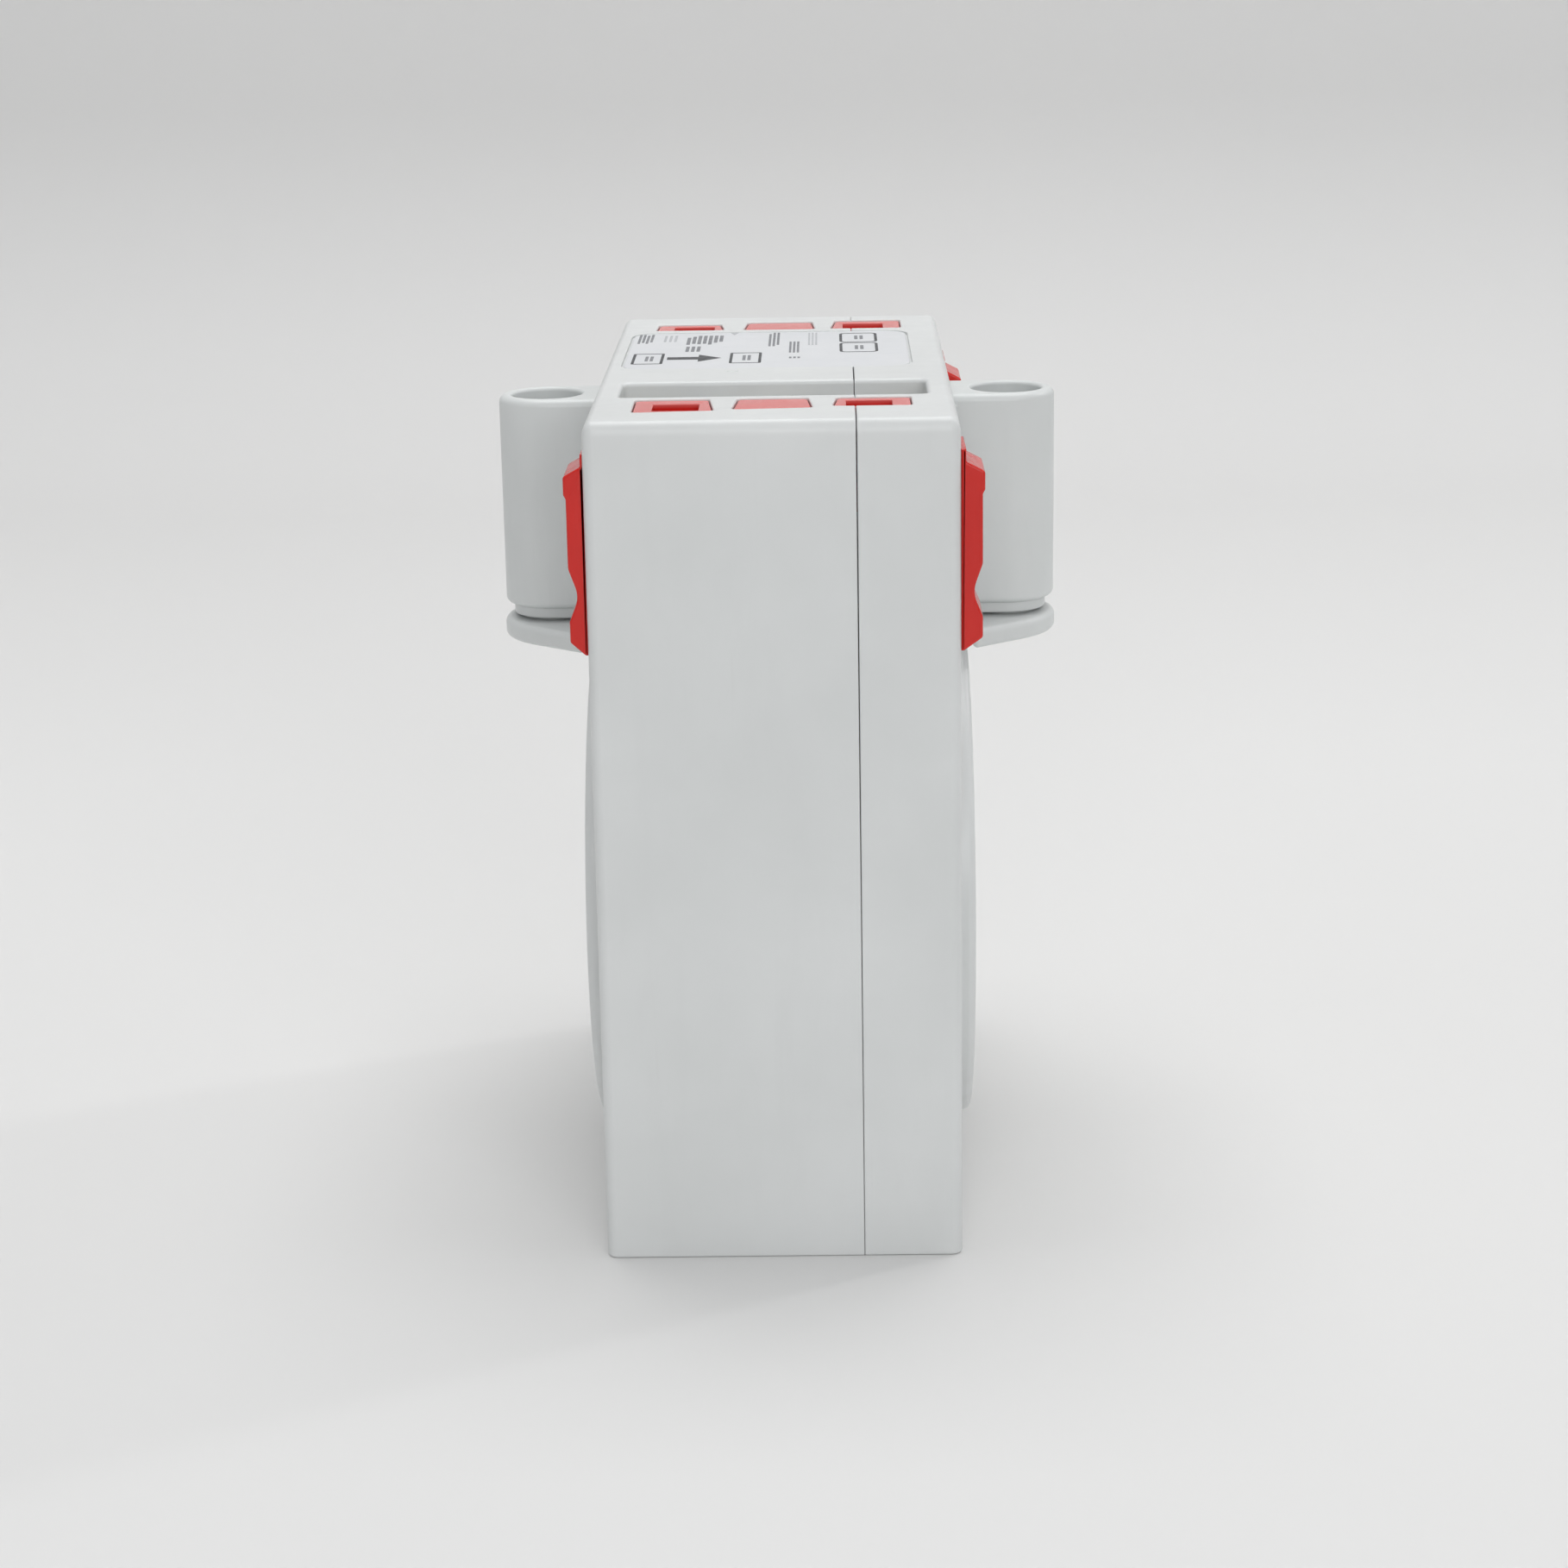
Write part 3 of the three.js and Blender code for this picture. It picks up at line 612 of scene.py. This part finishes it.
def thread_rod(cx, cy, r, depth, pitch, z0, z1, n=40, per=8, right=True):
    """A rod with a helical thread. It runs out to the full radius less the depth at both ends."""
    rows = max(8, int(round((z1 - z0) / pitch * per)))
    bm = bmesh.new()
    rings = []
    for k in range(rows + 1):
        z = z0 + (z1 - z0) * k / rows
        fade = min(1.0, (z - z0) / (0.6 * pitch), (z1 - z) / (0.6 * pitch))
        ring = []
        for i in range(n):
            ph = (z / pitch + (1 if right else -1) * -i / n) % 1.0
            tri = 1 - abs(2 * ph - 1)
            prof = min(1.0, max(0.0, (tri - 0.12) / 0.76))
            rr = r - depth * (1 - prof * max(0.0, fade))
            ring.append(bm.verts.new((cx + rr * math.cos(2 * math.pi * i / n), cy + rr * math.sin(2 * math.pi * i / n), z)))
        rings.append(ring)
    for lo, hi in zip(rings, rings[1:]):
        for i in range(n):
            j = (i + 1) % n
            bm.faces.new((lo[i], lo[j], hi[j], hi[i]))
    bm.faces.new(rings[0][::-1])
    bm.faces.new(rings[-1])
    return bm


def cross_cut(cx, cy, z0, z1, long, wide):
    """A cross recess, narrower at its floor."""
    def bar(a, b):
        bm = bmesh.new()
        lo = [bm.verts.new((cx + sx * a * 0.62, cy + sy * b * 0.7, z0)) for sx, sy in ((-1, -1), (1, -1), (1, 1), (-1, 1))]
        hi = [bm.verts.new((cx + sx * a * 1.12, cy + sy * b * 1.1, z1)) for sx, sy in ((-1, -1), (1, -1), (1, 1), (-1, 1))]
        for i in range(4):
            bm.faces.new((lo[i], lo[(i + 1) % 4], hi[(i + 1) % 4], hi[i]))
        bm.faces.new(lo[::-1])
        bm.faces.new(hi)
        return bm
    return boolean(bar(long, wide), ("+", bar(wide, long)))


def clamp_screw():
    x = TUBE_X
    head = lathe([(0, 83.9), (2.2, 83.9), (2.2, 84.4), (3.4, 84.4), (3.6, 84.6), (3.6, 86.1)]
                 + [(3.6 - 0.75 * (1 - math.cos(math.pi / 2 * k / 5)), 86.1 + 0.75 * math.sin(math.pi / 2 * k / 5)) for k in range(1, 6)] + [(0, 86.88)], 64, "z", (x, 0))
    rod = thread_rod(x, 0, 2.4, 0.32, 1.0, 66.25, 84.2)
    tip = lathe([(0, 63.65), (1.2, 63.65), (1.4, 63.85), (1.4, 66.6), (0, 66.6)], 40, "z", (x, 0))
    return boolean(head, ("+", rod), ("+", tip), ("-", cross_cut(x, 0, 85.2, 87.6, 2.1, 0.42)))


s_bm = clamp_screw()
piece("clamp_screw_left_fine", mirrored(s_bm, 0), steel_mat, "left_screw", ["clamp_screw_left"], angle=38, weld=0.002)
piece("clamp_screw_right_fine", s_bm, steel_mat, "right_screw", ["clamp_screw_right"], angle=38, weld=0.002)


def foot():
    cx, r = 22.75, 9.8
    pts = round_poly([(22.42, -12.6)] + arc(cx, 0, r, -53, 53, 48) + [(22.42, 12.6)], [0.5] + [0.0] * 49 + [0.5], 4)
    plate = loft(pts, fillet_in(63.4, 0.55, 6, -1) + fillet_in(65.6, 0.75, 7))
    hub = lathe([(0, 65.0), (3.95, 65.0), (3.95, 65.59)] + [(3.95 - 0.25 * math.sin(math.pi / 2 * k / 3), 65.59 + 0.25 * (1 - math.cos(math.pi / 2 * k / 3))) for k in range(1, 4)]
                + [(3.7, 67.05), (3.45, 67.3), (0, 67.3)], 64, "z", (TUBE_X, 0))
    holes = lathe([(0, 60), (2.6, 60), (2.6, 64.4), (1.7, 64.4), (1.7, 66.0), (2.7, 66.0), (2.7, 70), (0, 70)], 56, "z", (TUBE_X, 0))
    return boolean(plate, ("+", hub), ("-", holes))


f_bm = foot()
piece("clamp_foot_left_fine", mirrored(f_bm, 0), tube_mat, "left_foot", ["clamp_foot_left"])
piece("clamp_foot_right_fine", f_bm, tube_mat, "right_foot", ["clamp_foot_right"])


def retainer():
    ring = lathe([(1.6, 63.68), (2.2, 63.62), (2.3, 63.72), (2.3, 64.1), (2.2, 64.2), (1.6, 64.05), (1.6, 63.68)], 60, "z", (TUBE_X, 0))
    cut = [box(TUBE_X + 1.0, TUBE_X + 2.0, -0.15, 0.15, 63, 65)]
    return boolean(ring, ("-", cut[0]))


r_bm = retainer()
piece("foot_retainer_left_fine", mirrored(r_bm, 0), steel_mat, "left_foot", ["foot_retainer_left"])
piece("foot_retainer_right_fine", r_bm, steel_mat, "right_foot", ["foot_retainer_right"])

# ------------------------------------------------------------------ lock clips
def leg_outline(proud, root):
    """(protrusion from the face, z) of an arm, anticlockwise: a hooked foot, a rolled notch, a grip and a thin root."""
    d = proud
    p = [(0.02, 69.5), (0.32, 69.5), (2.15 + d, 70.95), (2.15 + d, 73.25), (1.05 + d, 75.9), (2.15 + d, 79.0), (2.15 + d, 86.55), (2.40 + d, 87.0), (2.40 + d, 88.95), (root, 90.0), (root, 91.4), (0.02, 91.4)]
    r = [0.0, 0.15, 0.45, 0.8, 3.2, 1.4, 0.5, 0.4, 0.45, 0.35, 0.12, 0.0]
    out = []
    m = len(p)
    for i in range(m):
        c, a, b = Vector(p[i]), Vector(p[i - 1]), Vector(p[(i + 1) % m])
        if r[i] == 0:
            out.append(tuple(c))
            continue
        u, v = (a - c), (b - c)
        la, lb = u.length, v.length
        u.normalize(); v.normalize()
        half = math.acos(max(-1, min(1, u.dot(v)))) / 2
        t = min(r[i] / math.tan(half), 0.45 * la, 0.45 * lb)
        n = 8 if r[i] > 1 else 4
        p0, p1 = c + u * t, c + v * t
        for k in range(n + 1):
            w = k / n
            out.append(tuple(p0 * (1 - w) ** 2 + c * 2 * w * (1 - w) + p1 * w ** 2))
    return out


def leg(side, proud, root):
    outline = [(z, HX + d) for d, z in leg_outline(proud, root)]
    y0, y1 = (-38.5, -30.5) if side < 0 else (25.0, 33.0)
    bm = loft(outline, fillet_in(y0, 0.26, 4, -1) + fillet_in(y1, 0.26, 4), "y")
    # a row of shallow finger grooves down the outer face of the grip
    grooves = []
    for k in range(4):
        z = 81.0 + 1.5 * k
        grooves.append(loft([(z - 0.32, HX + 2.15 + proud + 0.5), (z - 0.10, HX + 2.15 + proud - 0.18), (z + 0.10, HX + 2.15 + proud - 0.18), (z + 0.32, HX + 2.15 + proud + 0.5)],
                            [(y0 + 1.6, 0.0), (y1 - 1.6, 0.0)], "y"))
    return boolean(bm, *[("-", g) for g in grooves])


POCKETS = {-1: ((-12.9, -7.9, -32.0, -27.6), (8.0, 13.0, -30.5, -26.6)), 1: ((-13.1, -8.1, 28.9, 32.2), (8.0, 13.0, 28.9, 33.6))}


def clip(side):
    right = leg(side, 0.20, 0.60)
    left = mirrored(leg(side, -0.22, 0.30), 0)
    arm = (-37.4, -31.6) if side < 0 else (26.1, 31.9)
    yoke = (-37.4, -25.3) if side < 0 else (26.0, 36.5)
    steps = [("+", left), ("+", box(-20.3, 20.6, *arm, 84.6, 87.8)), ("+", box(-17.4, 17.4, *yoke, 84.6, 87.8, 0.4))]
    for p in pads(side):
        steps.append(("+", loft(round_poly(p, 0.45), [(87.0, 0.0)] + fillet_in(94.82, 0.16, 3))))
    for x0, x1, y0, y1 in POCKETS[side]:
        steps.append(("-", loft(round_rect(x0, x1, y0, y1, 0.3, 3), [(91.4, -0.20), (94.2, 0.0)] + flare(94.82, 0.10, 3))))
    return boolean(right, *steps)


piece("lock_clip_far_fine", clip(1), red_mat, "far_lock", ["lock_clip_far"], weld=0.001)
piece("lock_clip_near_fine", clip(-1), red_mat, "near_lock", ["lock_clip_near"], weld=0.001)

# ------------------------------------------------------------------ terminals
def carrier():
    base = loft(round_rect(-16.6, 16.6, -23.1, -13.6, 0.6, 4), [(84.3, 0.0)] + fillet_in(86.8, 0.25, 3))
    rib = loft(round_rect(-0.8, 0.8, -23.1, -13.6, 0.3, 3), [(85.3, 0.0)] + fillet_in(91.0, 0.3, 3))
    steps = [("+", rib)]
    for s in (-1, 1):
        steps.append(("-", box(min(s * 12.6, s * 14.8), max(s * 12.6, s * 14.8), -20.5, -15.5, 80, 90)))
        steps.append(("-", lathe([(0, 80), (2.35, 80), (2.35, 90), (0, 90)], 40, "z", (8.5 * s, -18))))
    return boolean(base, *steps)


piece("terminal_carrier_fine", carrier(), carrier_mat, "case", ["terminal_carrier"])


def plate():
    top = loft(round_rect(-14.2, -3.2, -21.6, -14.4, 0.5, 4), [(87.0, -0.1), (87.1, 0.0)] + fillet_in(88.2, 0.15, 3))
    tail = box(-14.2, -13.2, -20.0, -16.0, 78.0, 87.6, 0.12)
    hole = lathe([(0, 86), (2.3, 86), (2.3, 88.05), (2.45, 88.2), (2.45, 90), (0, 90)], 40, "z", (-8.5, -18))
    return boolean(top, ("+", tail), ("-", hole))


p_bm = plate()
piece("terminal_plate_s2_fine", mirrored(p_bm, 0), brass_mat, "case", ["terminal_plate_s2"])
piece("terminal_plate_s1_fine", p_bm, brass_mat, "case", ["terminal_plate_s1"])


def washer():
    w = loft(round_rect(-12.1, -4.9, -21.6, -14.4, 0.8, 4), [(88.4, -0.08), (88.5, 0.0)] + fillet_in(89.1, 0.15, 3))
    grooves = [box(-13, -4, -18 + d - 0.25, -18 + d + 0.25, 88.0, 88.52) for d in (-2.9, 2.9)]
    return boolean(w, ("-", lathe([(0, 88), (2.3, 88), (2.3, 90), (0, 90)], 40, "z", (-8.5, -18))), *[("-", g) for g in grooves])


w_bm = washer()
piece("terminal_washer_s2_fine", mirrored(w_bm, 0), steel_mat, "s2_washer", ["terminal_washer_s2"])
piece("terminal_washer_s1_fine", w_bm, steel_mat, "s1_washer", ["terminal_washer_s1"])


def terminal_screw():
    x, y = -8.5, -18
    head = lathe([(0, 88.9), (1.9, 88.9), (1.9, 89.3), (3.15, 89.3), (3.3, 89.45), (3.3, 90.5)]
                 + [(3.3 * math.cos(math.pi / 2 * k / 8 * 0.9), 90.5 + 1.1 * math.sin(math.pi / 2 * k / 8)) for k in range(1, 9)] + [(0, 91.6)], 56, "z", (x, y))
    rod = thread_rod(x, y, 2.0, 0.25, 0.7, 85.25, 89.1, 36, 8)
    return boolean(head, ("+", rod), ("-", cross_cut(x, y, 90.0, 92.2, 2.0, 0.36)), ("-", box(x - 4, x + 4, y - 0.32, y + 0.32, 90.9, 92.5)))


ts_bm = terminal_screw()
piece("terminal_screw_s2_fine", mirrored(ts_bm, 0), steel_mat, "s2_screw", ["terminal_screw_s2"], angle=38, weld=0.002)
piece("terminal_screw_s1_fine", ts_bm, steel_mat, "s1_screw", ["terminal_screw_s1"], angle=38, weld=0.002)

# ------------------------------------------------------------------ label
label = loft(round_rect(-17.7, 15.6, -3.0, 26.0, 2.8, 10), [(94.75, 0.0), (94.90, 0.0), (94.93, -0.03)])
piece("rating_label_film", label, film_mat, "case", ["rating_label"])


def slab(outline, z0=94.925, z1=94.945):
    return loft(outline, [(z0, 0.0), (z1, 0.0)])


def bar(x0, x1, y0, y1):
    return slab(round_rect(x0, x1, y0, y1, 0.08, 2))


def frame_box(x0, x1, y0, y1, line=0.28, r=0.5):
    return boolean(slab(round_rect(x0, x1, y0, y1, r, 4)), ("-", loft(round_rect(x0 + line, x1 - line, y0 + line, y1 - line, max(0.1, r - line), 4), [(94.0, 0.0), (96.0, 0.0)])))


def lines(x0, x1, y0, y1, n, fill=0.55, cut=()):
    """n plain strips side by side across x, running along y, in place of rows of small print."""
    step = (x1 - x0) / n
    out = []
    for k in range(n):
        a, b = (cut[k] if k < len(cut) else (0.0, 1.0))
        out.append(bar(x0 + step * (k + 0.5 - fill / 2), x0 + step * (k + 0.5 + fill / 2), y0 + (y1 - y0) * a, y0 + (y1 - y0) * b))
    return out


dark = [
    frame_box(-17.0, -13.3, 0.9, 9.1, 0.34, 0.3), frame_box(-5.5, -1.75, 0.8, 9.0, 0.34, 0.3),
    slab([(-12.9, 4.1), (-9.2, 4.1), (-9.2, 2.4), (-6.5, 5.1), (-9.2, 7.8), (-9.2, 6.1), (-12.9, 6.1)]),
    frame_box(7.5, 12.1, 8.3, 16.0, 0.34, 0.9), frame_box(7.5, 12.1, 16.5, 24.2, 0.34, 0.9),
]
grey = (lines(-15.6, -14.4, 3.2, 6.9, 2, 0.62) + lines(-4.1, -2.9, 3.0, 6.9, 2, 0.62)
        + lines(9.2, 10.5, 10.6, 13.7, 2, 0.62) + lines(9.2, 10.5, 18.9, 22.0, 2, 0.62)
        + lines(-17.2, -15.2, 17.6, 25.2, 4, 0.62, ((0, 1), (0.1, 1), (0, 0.9), (0.15, 1)))
        + lines(-11.2, -6.6, 16.2, 23.6, 7, 0.66, ((0, 0.8), (0.1, 0.9), (0.05, 1), (0.1, 1), (0, 1), (0.2, 1), (0.3, 1)))
        + lines(-11.1, -9.1, 10.4, 14.6, 3, 0.62) + lines(-1.2, 0.3, 14.0, 25.4, 3, 0.58, ((0, 0.9), (0, 1), (0.1, 1)))
        + lines(1.35, 2.75, 8.6, 17.6, 3, 0.58) + [bar(1.5, 1.8, 4.0, 5.2), bar(2.0, 2.3, 4.0, 5.2), bar(2.5, 2.8, 4.0, 5.2)])
light = (lines(-14.1, -12.2, 18.8, 24.0, 3, 0.5) + lines(3.6, 4.9, 14.6, 25.0, 3, 0.52) + [slab([(-5.9, 25.9), (-5.4, 23.9), (-4.9, 25.9)])])
piece("label_print_dark", join(*dark), ink_mat, "case", angle=30, weld=0.0005)
piece("label_print_grey", join(*grey), grey_ink_mat, "case", angle=30, weld=0.0005)
piece("label_print_light", join(*light), pale_ink_mat, "case", angle=30, weld=0.0005)

# ------------------------------------------------------------------ hidden parts keep their CAD shape
for name, mat in (("core_ring", core_mat), ("bobbin_left", bobbin_mat), ("bobbin_right", bobbin_mat), ("secondary_winding", copper_mat),
                  ("winding_tape", tape_mat), ("cushion_ring_left", foam_mat), ("cushion_ring_right", foam_mat),
                  ("winding_lead_s1", copper_mat), ("winding_lead_s2", copper_mat)):
    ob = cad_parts[name]
    for k in range(max(1, len(ob.material_slots))):
        if k < len(ob.material_slots):
            ob.material_slots[k].material = mat
        else:
            ob.data.materials.append(mat)

# ------------------------------------------------------------------ stage, light and camera
def stage_surface():
    """A floor that sweeps up into a backdrop well behind the object."""
    n = Nodes("paper_sweep", specular=0.2)
    base = n.mix(n.remap(n.noise(3, 3), 0.3, 0.7, 0, 1), (0.745, 0.742, 0.735), (0.765, 0.762, 0.755))
    sep = n.add("ShaderNodeSeparateXYZ", Vector=n.co)
    # painted shade: from Y 0.16 m to 0.42 m and on up the backdrop the paper is mixed towards a darker grey, standing
    # in for the weaker light there
    base = n.mix(n.remap(sep.outputs["Y"], 0.16, 0.42, 0.0, 0.55), base, (0.655, 0.651, 0.646))
    n.out(base, 0.62, n.bump(n.noise(60, 3), 0.1, 0.0004))
    pts = [(-1.6, 0.0), (0.40, 0.0)]
    for k in range(1, 13):
        a = math.pi / 2 * k / 12
        pts.append((0.40 + 0.09 * math.sin(a), 0.09 * (1 - math.cos(a))))
    pts.append((0.49, 1.6))
    bm = bmesh.new()
    rows = [[bm.verts.new((x, y, z)) for x in (-2.0, -1.0, 0.0, 1.0, 2.0)] for y, z in pts]
    for lo, hi in zip(rows, rows[1:]):
        for i in range(4):
            bm.faces.new((lo[i], lo[i + 1], hi[i + 1], hi[i]))
    me = bpy.data.meshes.new("sweep")
    bm.to_mesh(me)
    bm.free()
    me.shade_smooth()
    ob = bpy.data.objects.new("sweep", me)
    bpy.context.scene.collection.objects.link(ob)
    me.materials.append(n.mat)


stage_surface()


def area_light(name, at, look, size, power, color=(1, 1, 1)):
    li = bpy.data.lights.new(name, "AREA")
    li.shape = "RECTANGLE"
    li.size, li.size_y = size
    li.energy = power
    li.color = color
    ob = bpy.data.objects.new(name, li)
    ob.location = at
    ob.rotation_euler = (Vector(look) - Vector(at)).to_track_quat("-Z", "Y").to_euler()
    ob.visible_camera = False
    bpy.context.scene.collection.objects.link(ob)


area_light("top_soft", (0.0, 0.15, 1.0), (0, 0, 0), (0.8, 0.6), 5.3)
area_light("left_back", (-0.79, 0.62, 0.75), (0, 0, 0.03), (0.18, 0.15), 3.1)
area_light("right_back", (0.87, 0.50, 0.75), (0, 0, 0.03), (0.18, 0.15), 2.9)
area_light("front_fill", (0.20, -1.18, 0.50), (0, 0, 0.05), (1.0, 0.5), 5.0)

world = bpy.data.worlds.new("soft_world")
world.use_nodes = True
world.node_tree.nodes["Background"].inputs["Color"].default_value = (0.96, 0.98, 1.0, 1)
world.node_tree.nodes["Background"].inputs["Strength"].default_value = 0.40
bpy.context.scene.world = world
bpy.context.scene.view_settings.view_transform = "Standard"

AIM = math.atan2(0.0020, 0.3416)
R_ = Vector((0.99971853, 0.01719963, -0.01634093))
U_ = Vector((0.01102174, 0.27323072, 0.96188539))
F_ = Vector((-0.02100892, 0.96179475, -0.27296425))
for axis in (R_, U_, F_):
    axis.rotate(Matrix.Rotation(-AIM, 3, "Z"))
cam = bpy.data.cameras.new("camera")
cam.sensor_width = 36.0
cam.lens = 75.4404
cam.clip_start = 0.01
cam_ob = bpy.data.objects.new("camera", cam)
cam_ob.matrix_world = Matrix(((R_.x, U_.x, -F_.x, 0.0062373), (R_.y, U_.y, -F_.y, -0.3815816), (R_.z, U_.z, -F_.z, 0.1522917), (0, 0, 0, 1)))
bpy.context.scene.collection.objects.link(cam_ob)
bpy.context.scene.camera = cam_ob
